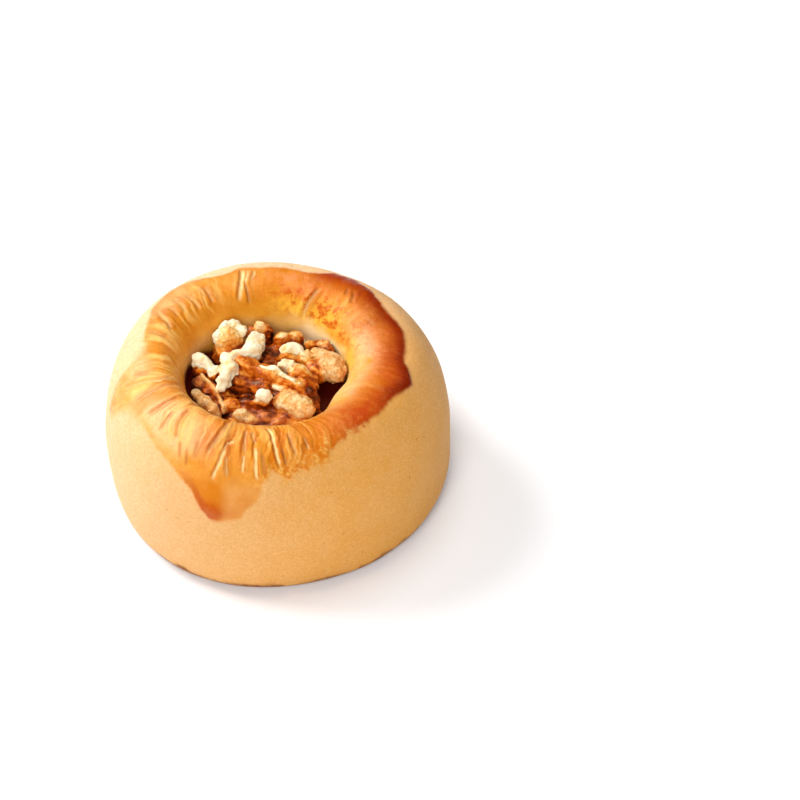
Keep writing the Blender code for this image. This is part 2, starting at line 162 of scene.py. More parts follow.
# (centre, radii, yaw in degrees, tone), and for some (direction of a broken cap, where it starts, its tone)
KERNEL = (
    ((-5.2, 2.2, 24.3), (3.1, 1.9, 2.1), -30, AMBER),
    ((-1.3, 0.2, 24.3), (3.7, 1.8, 2.2), -33, AMBER),
    ((2.2, -1.9, 24.0), (3.4, 1.9, 2.1), -33, AMBER),
    ((1.2, -3.1, 24.7), (1.8, 0.5, 0.6), -18, PINK),
    ((-6.3, 0.3, 22.7), (2.7, 2.3, 1.9), -20, BROWN),
    ((-2.6, -1.6, 22.7), (3.5, 1.8, 2.0), -25, BROWN),
    ((1.2, -3.2, 22.3), (3.2, 1.7, 2.0), -25, DARK),
    ((-1.9, 0.8, 26.2), (0.9, 0.50, 0.55), -22, CREAM),
    ((-0.6, 0.2, 26.35), (1.2, 0.66, 0.55), -28, CREAM),
    ((1.0, -0.9, 26.15), (1.2, 0.60, 0.55), -38, CREAM),
    ((2.5, -2.0, 25.85), (1.1, 0.52, 0.50), -34, CREAM),
    ((3.7, -2.7, 25.45), (0.6, 0.34, 0.42), -30, PINK),
    ((2.2, 2.1, 24.8), (2.3, 1.2, 1.2), -12, PINK),
    ((4.3, 0.8, 24.3), (2.2, 1.7, 1.6), -30, TAN),
    ((6.9, 2.4, 23.2), (2.2, 2.1, 2.1), -30, AMBER),
    ((5.1, 4.7, 24.1), (1.6, 1.3, 1.7), 0, TAN, ((-0.2, -0.2, 0.96), 0.75, BEIGE)),
    ((5.0, -1.1, 23.2), (2.6, 2.2, 2.3), -35, BROWN),
    ((5.5, -3.3, 22.2), (2.3, 2.2, 2.4), -30, DARK),
    ((6.2, -4.9, 21.2), (1.8, 1.9, 2.0), 0, BROWN),
    ((2.6, 6.0, 25.1), (2.1, 1.3, 1.6), -8, CREAM),
    ((2.0, 4.6, 24.1), (1.7, 1.1, 1.4), -8, TAN),
    ((2.4, 5.2, 22.4), (3.0, 2.6, 2.4), 0, BROWN),
    ((0.8, 9.6, 24.1), (1.5, 1.2, 1.7), 10, AMBER, ((0.2, -0.2, 0.96), 0.8, BEIGE)),
    ((3.1, 9.9, 23.9), (1.6, 1.3, 1.8), -15, AMBER, ((-0.2, -0.3, 0.9), 0.85, BEIGE)),
    ((2.0, 8.7, 22.0), (3.0, 2.0, 2.2), 0, BROWN),
    ((-1.2, 7.2, 22.0), (2.4, 2.8, 1.8), 0, BROWN),
    ((-0.8, 1.4, 21.4), (7.2, 6.6, 2.2), -10, BROWN),
    ((9.6, 3.0, 23.7), (3.6, 2.6, 2.7), -44, TAN, ((-0.15, -0.45, 0.88), -0.35, STRAW)),
    ((7.3, 5.4, 24.1), (2.0, 1.6, 1.8), -20, TAN, ((-0.1, -0.3, 0.94), 0.3, BEIGE)),
    ((8.2, 5.0, 21.6), (3.0, 2.0, 2.2), -30, BROWN),
    ((3.3, -6.1, 23.6), (4.1, 2.3, 2.2), -30, TAN, ((-0.18, -0.42, 0.89), 0.05, BEIGE)),
    ((3.0, -6.5, 21.4), (3.6, 2.3, 2.1), -20, BROWN),
    ((-2.1, -4.6, 24.1), (1.5, 1.3, 1.9), 0, CREAM),
    ((-2.2, -4.9, 22.4), (1.7, 1.6, 1.6), 0, BROWN),
    ((-7.8, -4.8, 22.0), (1.9, 1.7, 1.6), 0, AMBER),
    ((-5.9, -7.3, 22.0), (1.5, 1.2, 1.4), 0, GREY),
    ((-4.1, -8.1, 21.7), (1.2, 1.0, 1.2), 0, GREY),
    ((-1.7, -7.6, 21.6), (1.7, 1.3, 1.4), 0, MAUVE),
    ((1.1, -8.5, 21.5), (2.0, 1.1, 1.3), 0, MAUVE),
    ((3.7, -8.3, 21.3), (2.0, 1.0, 1.2), 15, TAN),
    ((-4.7, -4.5, 21.9), (2.0, 1.6, 1.7), 0, DARK),
    ((-7.2, -9.4, 21.0), (2.1, 1.6, 1.5), -35, AMBER),
    ((-3.2, -10.7, 21.1), (2.3, 1.4, 1.5), 0, BROWN),
    ((1.2, -10.9, 21.0), (2.1, 1.4, 1.4), 10, TAN),
    ((5.0, -9.4, 21.2), (2.2, 1.6, 1.5), 35, AMBER, ((0.1, -0.2, 0.97), 0.6, BEIGE)),
    ((7.6, -7.0, 20.8), (1.7, 1.8, 1.4), 0, BROWN),
    ((-2.5, -5.4, 20.7), (7.6, 3.8, 2.0), 0, DARK),
    ((-1.2, -8.6, 20.3), (8.0, 3.6, 1.6), 0, DARK),
    ((-13.6, 1.2, 21.7), (1.3, 1.6, 1.5), 0, MAUVE),
    ((-11.4, -1.5, 21.9), (2.0, 2.3, 1.8), -20, BROWN),
    ((-10.4, -1.8, 20.9), (3.4, 3.6, 1.9), 0, AMBER),
    ((-12.9, 1.0, 23.3), (1.3, 0.42, 0.7), -51, GREY),
    ((-11.6, -0.7, 23.4), (1.3, 0.42, 0.7), -58, GREY),
    ((-10.5, -2.5, 23.3), (1.3, 0.42, 0.7), -63, GREY),
    ((-9.5, -4.5, 23.1), (1.3, 0.42, 0.7), -71, GREY),
    ((-9.0, -6.3, 22.8), (1.2, 0.42, 0.7), -95, GREY),
)
KNOB = (
    ((-8.6, 9.4, 24.1), (2.8, 2.7, 2.9), 90, AMBER, ((0.0, -0.30, 0.95), 0.22, GOLD)),
    ((-10.9, 9.4, 25.0), (0.9, 1.1, 1.3), 0, CREAM),
    ((-9.5, 11.2, 26.0), (1.1, 1.0, 1.0), 0, CREAM),
    ((-7.7, 11.5, 26.1), (1.3, 0.9, 1.0), 0, CREAM),
    ((-6.2, 10.6, 25.6), (0.9, 0.9, 1.0), 0, CREAM),
    ((-8.6, 8.6, 22.6), (2.9, 2.7, 2.4), 90, AMBER),
    ((-8.7, 8.2, 21.6), (3.0, 2.8, 2.4), 0, BROWN),
    ((-3.6, 7.8, 25.2), (1.9, 1.4, 2.6), 0, CREAM),
    ((-4.5, 5.6, 25.1), (2.3, 1.7, 2.0), 35, CREAM),
    ((-6.6, 4.5, 25.0), (2.1, 1.2, 1.6), 10, CREAM),
    ((-8.8, 3.7, 24.8), (1.5, 1.3, 1.6), 0, CREAM),
    ((-8.3, 1.4, 24.8), (1.9, 1.9, 1.9), 0, CREAM),
    ((-9.0, -0.6, 24.3), (1.5, 1.5, 1.7), 20, CREAM),
    ((-9.6, -1.9, 23.9), (0.95, 1.0, 1.1), 0, CREAM),
    ((-6.2, 6.2, 22.2), (4.2, 3.0, 2.6), 10, BROWN),
    ((-8.7, 1.2, 22.3), (2.0, 2.6, 2.0), 0, BROWN),
)
LEFT = (
    ((-13.1, 4.0, 23.9), (2.1, 1.5, 2.0), -30, CREAM),
    ((-13.7, 4.8, 24.1), (1.2, 1.2, 1.4), 0, CREAM),
    ((-11.1, 2.2, 23.2), (1.4, 1.6, 1.8), -20, AMBER, ((-0.3, 0.2, 0.93), 0.45, CREAM)),
    ((-13.3, 2.6, 22.7), (1.7, 1.1, 1.2), -20, BROWN),
    ((-12.4, 3.2, 21.4), (2.4, 2.2, 2.2), -20, DARK),
)
BACK = (
    ((-3.0, 12.1, 24.4), (1.5, 1.2, 1.7), 0, TAN, ((-0.1, -0.4, 0.9), 0.7, BEIGE)),
    ((-1.7, 11.5, 23.7), (1.1, 1.2, 1.8), 0, BROWN),
    ((-4.9, 12.5, 23.2), (1.0, 0.9, 1.4), 0, MAUVE),
    ((-2.9, 11.3, 21.7), (2.4, 1.8, 2.2), 0, BROWN),
)
BACK_RIGHT = (
    ((7.7, 8.2, 23.3), (2.5, 1.3, 1.6), -20, BROWN, ((0.1, -0.2, 0.97), 0.8, GREY)),
    ((6.0, 8.3, 23.5), (1.2, 1.1, 1.5), 0, TAN),
    ((9.1, 7.3, 23.1), (1.3, 1.1, 1.5), 0, BROWN),
    ((7.4, 8.0, 21.3), (2.8, 1.7, 2.0), -20, BROWN),
)
LOW_LEFT = (
    ((-13.6, -2.5, 22.1), (1.7, 1.2, 1.3), -52, GREY),
    ((-12.3, -4.3, 22.1), (2.1, 1.3, 1.4), -52, GREY),
    ((-10.9, -6.1, 22.1), (1.8, 1.3, 1.4), -50, GREY),
    ((-12.1, -4.3, 20.8), (3.4, 1.6, 1.5), -50, BROWN),
)
PIECES = (
    ("walnut_kernel", KERNEL, 101),
    ("walnut_knob", KNOB, 201),
    ("walnut_left", LEFT, 301),
    ("walnut_back", BACK, 401),
    ("walnut_back_right", BACK_RIGHT, 501),
    ("walnut_low_left", LOW_LEFT, 601),
)
WALNUT_STEP = 0.18  # side of the cells in which the walnut's surface is found
WALNUT_GAP = 0.12  # between the walnut and the dough

# -------- camera, in metres
LENS, CAMERA_DOWN, CAMERA_AWAY = 150.7, 0.803, 0.6
CAMERA_AIM = Vector((0.0218, 0.00443, 0.014))


# -------- noise
def lattice(ix, iy, iz, seed):
    """A random number from -1 to 1 for each whole point, by mixing the bits of its coordinates."""
    h = (ix * 374761393 + iy * 668265263 + iz * 1440662683 + seed * 974634777) & 0xFFFFFFFF
    h = ((h ^ (h >> 13)) * 1274126177) & 0xFFFFFFFF
    return ((h ^ (h >> 16)) & 0xFFFF) / 32767.5 - 1.0


def value_noise(p, seed):
    """Smooth noise from -1 to 1 at points p (..., 3)."""
    base = np.floor(p).astype(np.int64)
    f = p - base
    f = f * f * f * (f * (f * 6 - 15) + 10)
    total = 0.0
    for dx in (0, 1):
        wx = f[..., 0] if dx else 1 - f[..., 0]
        for dy in (0, 1):
            wy = f[..., 1] if dy else 1 - f[..., 1]
            for dz in (0, 1):
                wz = f[..., 2] if dz else 1 - f[..., 2]
                corner = lattice(base[..., 0] + dx, base[..., 1] + dy, base[..., 2] + dz, seed)
                total = total + wx * wy * wz * corner
    return total


def fractal(p, size, seed, octaves=3):
    """Noise at points p with features of the size in mm, and finer ones on top."""
    total, weight = 0.0, 1.0
    for k in range(octaves):
        total = total + weight * value_noise(p / size * 2.03**k + 17.1 * k, seed + k)
        weight *= 0.5
    return total


def scallops(p, size, seed):
    """Rounded pits that meet in sharp ridges, from 0 to about 1, at points p (n, 3)."""
    q = p / size
    base = np.floor(q).astype(np.int64)
    nearest = np.full(len(q), 9.0)
    for dx in (-1, 0, 1):
        for dy in (-1, 0, 1):
            for dz in (-1, 0, 1):
                cell = base + (dx, dy, dz)
                away = [cell[:, k] + 0.5 + 0.42 * lattice(*cell.T, seed + k) - q[:, k] for k in range(3)]
                nearest = np.minimum(nearest, away[0] ** 2 + away[1] ** 2 + away[2] ** 2)
    return nearest


def smoothstep(low, high, x):
    t = np.clip((x - low) / (high - low), 0, 1)
    return t * t * (3 - 2 * t)


def between(x, rise_from, rise_to, fall_from, fall_to):
    """1 within a range that has soft ends, and 0 outside it."""
    return smoothstep(rise_from, rise_to, x) * (1 - smoothstep(fall_from, fall_to, x))


# -------- the bun
def superellipse(centre, radii, power, start, stop, count):
    """Points between two angles in degrees on an ellipse, squarer where the power is over 2."""
    t = np.radians(np.linspace(start, stop, count))
    across = np.sign(np.cos(t)) * np.abs(np.cos(t)) ** (2 / power)
    up = np.sign(np.sin(t)) * np.abs(np.sin(t)) ** (2 / power)
    return np.c_[centre[0] + radii[0] * across, centre[1] + radii[1] * up]


def half_outline():
    """Points (radius, height) of the turned shape, from the dish's middle to the foot's, and arc lengths."""
    corner_size = (DISH_RADIUS - DISH_FLOOR_RADIUS, DISH_WALL - DISH_FLOOR)
    corner = superellipse((DISH_FLOOR_RADIUS, DISH_WALL), corner_size, 2, -90, 0, 40)
    lip_size = (CREST_RADIUS - DISH_RADIUS, HEIGHT - DISH_WALL)
    lip = superellipse((CREST_RADIUS, DISH_WALL), lip_size, 2, 180, 90, 120)
    shoulder_size = (WIDE_RADIUS - CREST_RADIUS, HEIGHT - WIDE_HEIGHT)
    shoulder = superellipse((CREST_RADIUS, WIDE_HEIGHT), shoulder_size, SHOULDER_POWER, 90, 0, 240)
    foot_size = (WIDE_RADIUS - FOOT_RADIUS, WIDE_HEIGHT)
    foot = superellipse((FOOT_RADIUS, WIDE_HEIGHT), foot_size, FOOT_POWER, 0, -90, 160)
    points = np.r_[[[0.0, DISH_FLOOR]], corner, lip[1:], shoulder[1:], foot[1:], [[0.0, 0.0]]]
    arc = np.r_[0, np.cumsum(np.hypot(*np.diff(points, axis=0).T))]
    return points, arc


OUTLINE, ARC = half_outline()
CREST_ARC = float(ARC[np.argmax(OUTLINE[:, 1])])
FOOT_ARC = float(ARC[-2])


def waves(table, azimuth):
    return sum(size * np.cos(count * (azimuth - math.radians(at))) for count, size, at in table)


def bun_surface(azimuth, arc):
    """Points on the uneven bun, before its creases, at the given azimuths and arc lengths."""
    radius = np.interp(arc, ARC, OUTLINE[:, 0])
    height = np.interp(arc, ARC, OUTLINE[:, 1])
    side = np.minimum(1, radius / CREST_RADIUS)
    below = np.where(radius > FOOT_RADIUS / 2, np.maximum(0, 1 - height / WIDE_HEIGHT), 0.0)
    below = np.where(arc > FOOT_ARC, 1.0, below)
    above = np.maximum(0, (height - DISH_FLOOR) / (HEIGHT - DISH_FLOOR))
    rim = np.maximum(0, 1 - np.abs(radius - CREST_RADIUS) / (WIDE_RADIUS - CREST_RADIUS))
    grown = 1 + waves(SIDE_WAVES, azimuth) * side**4 + waves(FOOT_WAVES, azimuth) * below
    up = height + waves(CREST_WAVES, azimuth) * above * rim
    in_dish = arc < CREST_ARC
    inside = np.clip((CREST_RADIUS - radius) / (CREST_RADIUS - DISH_RADIUS), 0, 1) * in_dish
    tall = np.maximum(0, (height - WIDE_HEIGHT) / (HEIGHT - WIDE_HEIGHT))
    x, y = (
        radius * grown * part(azimuth) + np.where(in_dish, lean + (shift - lean) * inside, lean * tall)
        for part, lean, shift in zip((np.cos, np.sin), LEAN, DISH_SHIFT)
    )
    return np.stack([x, y, up], -1)


def normals(azimuth, arc):
    """Outward directions of the uneven bun."""
    step, turn = 0.02, 0.002
    after, before = np.minimum(arc + step, ARC[-1]), np.maximum(arc - step, 0)
    along = bun_surface(azimuth, after) - bun_surface(azimuth, before)
    round_ = bun_surface(azimuth + turn, arc) - bun_surface(azimuth - turn, arc)
    n = np.cross(along, round_)
    size = np.linalg.norm(n, axis=-1, keepdims=True)
    flat = size[..., 0] < 1e-9
    n = n / np.maximum(size, 1e-12)
    n[flat] = (0, 0, 1)
    return n


def angle_from(azimuth, at):
    """Signed angles in radians from an azimuth in degrees."""
    return np.remainder(azimuth - math.radians(at) + math.pi, TAU) - math.pi


def to_line(azimuth, arc, line):
    """Distance in mm to a polyline of (azimuth, arc), the side it is on, and the share of the way along."""
    radius = np.interp(arc, ARC, OUTLINE[:, 0])
    steps = []
    for (a0, s0), (a1, s1) in zip(line[:-1], line[1:]):
        across = math.radians(a1 - a0) * np.interp((s0 + s1) / 2, ARC, OUTLINE[:, 0])
        steps.append((a0, s0, across, s1 - s0, math.hypot(across, s1 - s0)))
    whole = sum(step[-1] for step in steps)
    nearest = np.full(azimuth.shape, 1e9)
    side, share = np.zeros(azimuth.shape), np.zeros(azimuth.shape)
    done = 0.0
    for a0, s0, dx, dy, length in steps:
        x, y = angle_from(azimuth, a0) * radius, arc - s0
        t = np.clip((x * dx + y * dy) / (dx * dx + dy * dy), 0, 1)
        ex, ey = x - t * dx, y - t * dy
        d = np.hypot(ex, ey)
        closer = d < nearest
        nearest = np.where(closer, d, nearest)
        side = np.where(closer, np.sign(ex), side)
        share = np.where(closer, (done + t * length) / whole, share)
        done += length
    return nearest, side, share


def spots(name, azimuth, arc):
    """The sum of a named set of soft spots."""
    total = np.zeros(azimuth.shape)
    for weight, at, spread, centre, long in SPOTS[name]:
        away = np.degrees(angle_from(azimuth, at)) / spread
        total += weight * np.exp(-(away**2) - ((arc - centre) / long) ** 2)
    return total


def glaze_coat(azimuth, arc, base, wobble, fine):
    """Height of the glaze in mm, and its masks."""
    degrees = np.degrees(azimuth) % 360
    turn = np.degrees(angle_from(azimuth, 0))
    speckled = between(degrees, 258, 272, 305, 322)
    soft = between(degrees, 172, 182, 204, 220)
    edge = np.interp(degrees, *np.array(GLAZE_EDGE).T)
    edge = edge + (0.30 + 0.5 * speckled) * wobble + (0.12 + 0.5 * speckled) * fine
    inward = edge + 0.45 * speckled * fractal(base, 0.55, 22, 2) - arc
    glaze = smoothstep(-0.35 - 0.2 * speckled - 1.1 * soft, 0.45 + 0.3 * speckled + 1.6 * soft, inward)
    film = between(degrees, 251.5, 256, 269, 275) * smoothstep(34.0, 37.0, arc + 0.5 * wobble)
    bead = glaze * np.clip(spots("pooled", azimuth, arc) + 0.04, 0, 1) * (1 - film)
    bead = bead * np.exp(-(((inward - 0.8) / 0.9) ** 2))
    pool = glaze * between(turn, -38, -12, 52, 78) * np.exp(-((np.maximum(0, inward - 0.3) / 2.7) ** 2))
    drop, tips = spots("drop", azimuth, arc), spots("tips", azimuth, arc)
    film = film * (1 - np.clip(drop, 0, 1))
    trail = glaze * spots("trail", azimuth, arc) * np.exp(-(((inward - 1.4) / 1.2) ** 2))
    height = (GLAZE_HEIGHT * glaze + BEAD_HEIGHT * bead) * (1 - 0.7 * film)
    return height + DROP_HEIGHT * (drop + tips) * glaze, {
        "glaze": glaze,
        "bead": bead + 0.9 * tips * glaze,
        "film": film,
        "trail": np.clip(0.85 * trail + 0.9 * drop * glaze, 0, 0.97),
        "froth": speckled * (1 - smoothstep(294, 306, degrees)) * glaze * smoothstep(-3.6, -0.8, -inward),
        "pool": np.clip(0.85 * pool, 0, 1),
    }


def creases(azimuth, arc, fine):
    """Height of the creases in mm, how pale they are, and the shade painted in and beside their grooves."""
    height, pale, dark = (np.zeros(azimuth.shape) for _ in range(3))
    for line, width, depth, paleness, dark_side in CREASES:
        d, side, share = to_line(azimuth, arc, line)
        d = d + 0.10 * fine
        fade = between(share, 0, 0.18, 0.82, 1)
        core = np.exp(-((d / (0.62 * width)) ** 2))
        lips = np.exp(-(((d - 1.75 * width) / (0.8 * width)) ** 2))
        beside = np.exp(-(((d - 1.1 * width) / (0.55 * width)) ** 2)) * (side == dark_side)
        height += fade * depth * (LIP_HEIGHT * lips - GROOVE_DEPTH * core)
        pale = np.maximum(pale, fade * paleness * np.exp(-((d / (0.64 * width)) ** 4)))
        # painted shade in the groove of a crease and beside it on one side
        dark = np.maximum(dark, fade * 0.9 * (1 - paleness) * core)
        dark = np.maximum(dark, fade * (0.25 + 0.75 * beside) * np.exp(-((d / (1.9 * width)) ** 2)))
    return height, pale, dark


def drawn_out(warp, arc, fineness, change, layer, seed):
    """Noise that changes quickly round the bun and slowly across the ring."""
    return value_noise(np.stack([warp * fineness, arc * change, layer + 0 * arc], -1), seed)


def puckers(azimuth, arc, base):
    """Height in mm of the soft folds across the ring, where they are raised, and their grooves."""
    degrees = np.degrees(azimuth) % 360
    upper = between(degrees, 112, 130, 180, 200)
    ring = between(arc, 18.5, 22.5, 29.0, 35.5)
    ring = ring * (1 - 0.75 * upper * smoothstep(26.5, 29.0, arc))
    ring = ring * (1 - 0.85 * upper * (1 - smoothstep(20.5, 24.0, arc)))
    where = 0.25 + 0.75 * between(degrees, 112, 130, 292, 312)
    front = between(degrees, 238, 250, 290, 304) * between(arc, 21.0, 24.0, 29.5, 34.0)
    left = between(degrees, 120, 140, 225, 240) * between(arc, 19.0, 23.0, 28.5, 33.0)
    calm = 1 - 0.45 * between(degrees, 120, 140, 202, 228)
    around = np.stack([np.cos(azimuth) * 3, np.sin(azimuth) * 3, arc * 0.25], -1)
    warp = azimuth + 0.035 * fractal(around, 1.0, 31, 3)
    pucker = drawn_out(warp, arc, 14, 0.10, 0, 41) + 0.7 * drawn_out(warp, arc, 31, 0.16, 3, 42)
    ripple = drawn_out(warp, arc, 58, 0.24, 7, 43)
    thread = drawn_out(warp, arc, 105, 0.45, 11, 44)
    patchy = 0.45 + 0.75 * smoothstep(-0.4, 0.5, drawn_out(warp, arc, 6, 0.22, 19, 46))
    height = ring * where * calm * patchy * PUCKER_HEIGHT * pucker
    height += (RIPPLE_FRONT * front + RIPPLE_LEFT * left) * patchy * ripple
    height += ring * (0.010 + 0.035 * front + 0.008 * left) * thread
    height += ring * 0.035 * fractal(base, 1.3, 45, 3)
    fold = np.clip(ring * where * (0.6 * pucker + 0.4 * ripple + 0.3 * front * thread), -1, 1)
    # the troughs of the ripples, where shade is painted
    groove = (0.45 * front + 0.2 * left) * smoothstep(0.0, 0.7, -ripple)
    return height, 0.5 + 0.5 * fold, groove


def bubble_rings(azimuth, arc):
    rings = np.zeros(azimuth.shape)
    for at, centre, size in BUBBLES:
        d, _, _ = to_line(azimuth, arc, ((at, centre), (at, centre + 0.01)))
        rings = np.maximum(rings, np.exp(-(((d - size) / (0.4 * size)) ** 2)))
    return rings


def bun_relief(azimuth, arc, base):
    """Height of the skin above the smooth bun in mm, and the masks that its colours need."""
    wobble = fractal(base, 3.2, 11, 3)
    fine = fractal(base, 0.9, 21, 2)
    height, masks = glaze_coat(azimuth, arc, base, wobble, fine)
    crease, pale, dark = creases(azimuth, arc, fine)
    pucker, fold, groove = puckers(azimuth, arc, base)
    height += crease + pucker + BUBBLE_HEIGHT * bubble_rings(azimuth, arc)
    wrinkled = np.exp(-((angle_from(azimuth, 45) / 0.62) ** 2)) * between(arc, 18.0, 20.0, 23.0, 25.0)
    height += wrinkled * 0.10 * fractal(base, 0.8, 51, 3)
    height += spots("lip bulge", azimuth, arc)
    # slow unevenness of the bare dough, kept off the flat foot, and the rough underside
    height += between(arc, 26, 36, FOOT_ARC - 4, FOOT_ARC) * 0.10 * fractal(base, 9.0, 61, 2)
    under = smoothstep(FOOT_ARC - 0.6, FOOT_ARC + 0.6, arc)
    height += under * (UNDER_ROUGHNESS * fractal(base, 1.1, 71, 4) - UNDER_RECESS)
    masks |= {
        "pale": np.clip(pale, 0, 1),
        # painted shade in the crease grooves and ripple troughs
        "dark": np.clip(dark + groove, 0, 1),
        "fold": fold,
        "crackle": np.clip(0.9 * wrinkled + spots("back crackle", azimuth, arc), 0, 1),
        "under": under,
        "scorch": smoothstep(FOOT_ARC - 4.8, FOOT_ARC - 4.2, arc + 0.8 * wobble),
    }
    return height, masks | colour_areas(azimuth, arc, base[:, 2], wobble)


def colour_areas(azimuth, arc, up, wobble):
    """The broad colour areas: gold in the dish wall, painted pink highlights on the back, red at the pooled
    right side, painted highlights on the crest, painted shade in the dish and on the side away from the
    light.
    """
    turn = np.degrees(angle_from(azimuth, 0))
    inner = 1 - smoothstep(18.5, 24.0, arc + 0.9 * wobble)
    right = between(turn, -75, -25, 80, 125)
    # where the top of the painted shade in the dish is lowered
    dish_shade_lowered = between(turn, 15, 40, 120, 150) + spots("dish_shade_lowered", azimuth, arc)
    band = 1 - smoothstep(16.6, 19.6, arc + 0.9 * wobble)
    behind = between(turn, 10, 36, 100, 125) * (1 - 0.75 * smoothstep(55, 78, turn))
    outer_right = smoothstep(22.0, 28.2, arc + wobble) * between(turn, -75, -45, 62, 88)
    # darker towards the front right and the bottom: partly real toasting, partly painted shade on the side
    # away from the key light
    toasted = 0.46 + 0.47 * np.cos(angle_from(azimuth, 315)) + 0.08 * (1 - smoothstep(0, 12, up))
    return {
        # painted shade: the floor and low wall of the dish under the walnut are painted dark brown
        "painted_dish_shade": 1 - smoothstep(15.4 - 3.4 * dish_shade_lowered, 16.8 - 2.8 * dish_shade_lowered, arc + 0.6 * wobble),
        "gold": np.clip(inner * (0.60 + 0.40 * right), 0, 1) * 0.9,
        "cream": np.clip(band * behind + spots("cream", azimuth, arc), 0, 1),
        "red": np.clip(outer_right * 0.95 + spots("red", azimuth, arc), 0, 1),
        # painted highlights on the crest and the inner lip
        "painted_sheen": np.clip(0.50 * spots("painted_sheen", azimuth, arc) * (0.9 + 0.7 * wobble), 0, 0.62),
        "honey": np.clip(spots("honey", azimuth, arc) * (0.9 + 0.5 * wobble), 0, 0.95),
        # painted light: the glaze is lighter and yellower at the left front, where the light comes from, and
        # darker at the back right
        "painted_lit_side": np.clip(0.5 + 0.55 * np.cos(angle_from(azimuth, 210)) + 0.15 * wobble, 0, 1),
        # pink patches painted as the tinge of highlights
        "painted_pink_sheen": np.clip(0.8 * spots("painted_pink_sheen", azimuth, arc) * (0.7 + 0.6 * wobble), 0, 1),
        "toast_and_shade": np.clip(toasted + 0.04 * wobble, 0, 1),
    }


# Share of the points round a row, and the azimuth reached: they are closest at the cracked front.
CLOSER_SET = ((0, 0.25, 0.34, 0.87, 1), (0, 125, 185, 325, 360))


def bun_rows():
    """Arc lengths of the grid's rows, and how many points each row has round it."""
    inner = np.linspace(0.9, RING_START, 14)
    ring = np.r_[np.arange(RING_START, 23, 0.4)[1:], np.arange(23, 36, 0.28), np.arange(36, RING_END, 0.44)]
    side = np.arange(RING_END, FOOT_ARC - 1.5, 0.8)
    foot = np.linspace(FOOT_ARC - 1.5, FOOT_ARC + 1.0, 8)
    under = np.linspace(FOOT_ARC + 1.8, ARC[-1] - 0.9, 24)
    return [(s, 360) for s in inner] + [(s, 720) for s in ring] + [(s, 360) for s in np.r_[side, foot, under]]


def row_faces(a, b, first, second):
    """Faces between a row of a points and one of b: as many, twice as many or half as many."""
    j = np.arange(min(a, b))
    after = (j + 1) % min(a, b)
    if a == b:
        return np.c_[first + j, second + j, second + after, first + after].tolist()
    if b > a:
        left, mid, right = second + 2 * j, second + 2 * j + 1, second + (2 * j + 2) % b
        fans = ((first + j, left, mid), (first + j, mid, first + after), (first + after, mid, right))
    else:
        left, mid, right = first + 2 * j, first + 2 * j + 1, first + (2 * j + 2) % a
        fans = ((left, second + j, mid), (mid, second + j, second + after), (mid, second + after, right))
    return [face for fan in fans for face in np.stack(fan, -1).tolist()]


def build_bun():
    rows = bun_rows()
    counts = [n for _, n in rows]
    azimuth = np.concatenate([np.radians(np.interp(np.arange(n) / n, *CLOSER_SET)) for n in counts])
    arc = np.concatenate([np.full(n, s) for s, n in rows])
    base = bun_surface(azimuth, arc)
    height, masks = bun_relief(azimuth, arc, base)
    points = base + height[:, None] * normals(azimuth, arc)
    starts = np.r_[0, np.cumsum(counts)]
    faces = []
    for i in range(len(rows) - 1):
        faces += row_faces(counts[i], counts[i + 1], starts[i], starts[i + 1])
    # one point in the middle of the dish and one in the middle of the underside close the grid
    top, bottom = len(points), len(points) + 1
    j = np.arange(counts[0])
    faces += np.c_[np.full(len(j), top), j, (j + 1) % len(j)].tolist()
    j = np.arange(counts[-1])
    faces += np.c_[starts[-2] + (j + 1) % len(j), starts[-2] + j, np.full(len(j), bottom)].tolist()
    points = np.r_[points, [points[: counts[0]].mean(0), points[starts[-2] :].mean(0)]]
    masks = {name: np.r_[value, value[0], value[-1]] for name, value in masks.items()}
    return points, faces, masks


def make_mesh(name, points, faces, masks):
    """A smooth object from points in mm, with a number per point for each mask."""
    mesh = bpy.data.meshes.new(name)
    mesh.from_pydata((points * MM).tolist(), [], faces)
    for key, value in masks.items():
        attribute = mesh.attributes.new(key, "FLOAT", "POINT")
        attribute.data.foreach_set("value", np.asarray(value, np.float32))
    mesh.shade_smooth()
    mesh.validate()
    obj = bpy.data.objects.new(name, mesh)
    bpy.context.scene.collection.objects.link(obj)
    return obj


# -------- the walnut
def dish_room(p, gap):
    """Distance outside the room in the dish."""
    across = np.hypot(p[..., 0] - DISH_SHIFT[0] - AXIS[0], p[..., 1] - DISH_SHIFT[1] - AXIS[1])
    up = p[..., 2]
    lip = np.clip((up - DISH_WALL) / (HEIGHT - DISH_WALL), 0, 0.98)
    low = np.clip((DISH_WALL - up) / (DISH_WALL - DISH_FLOOR), 0, 1)
    wall = DISH_RADIUS + (CREST_RADIUS - DISH_RADIUS) * (1 - np.sqrt(1 - lip**2))
    corner = DISH_FLOOR_RADIUS + (DISH_RADIUS - DISH_FLOOR_RADIUS) * np.sqrt(np.maximum(0, 1 - low**2))
    return np.maximum(across - np.where(up > DISH_WALL, wall, corner) + gap, DISH_FLOOR + gap - up)


def in_lobe(p, lobe):
    """(distance, unit direction, turned offset) of points p (n, 3) from the middle of one lobe."""
    centre, radii, yaw = lobe[:3]
    q = p - np.array(centre)
    c, s = math.cos(math.radians(yaw)), math.sin(math.radians(yaw))
    local = np.stack([q[:, 0] * c + q[:, 1] * s, -q[:, 0] * s + q[:, 1] * c, q[:, 2]], -1)
    a = np.linalg.norm(local / radii, axis=-1)
    b = np.linalg.norm(local / np.square(radii), axis=-1)
    away = q / np.maximum(np.linalg.norm(q, axis=-1, keepdims=True), 1e-9)
    return a * (a - 1) / np.maximum(b, 1e-6), away, local


def bare_field(p, lobes, reach=2.6):
    """Distance of points p (n, 3) from smooth lobes, right within the reach."""
    total = np.full(len(p), reach)
    for lobe in lobes:
        close = (np.abs(p - np.array(lobe[0])) < max(lobe[1]) + reach).all(-1).nonzero()[0]
        total[close] = np.minimum(total[close], in_lobe(p[close], lobe)[0])
    return total


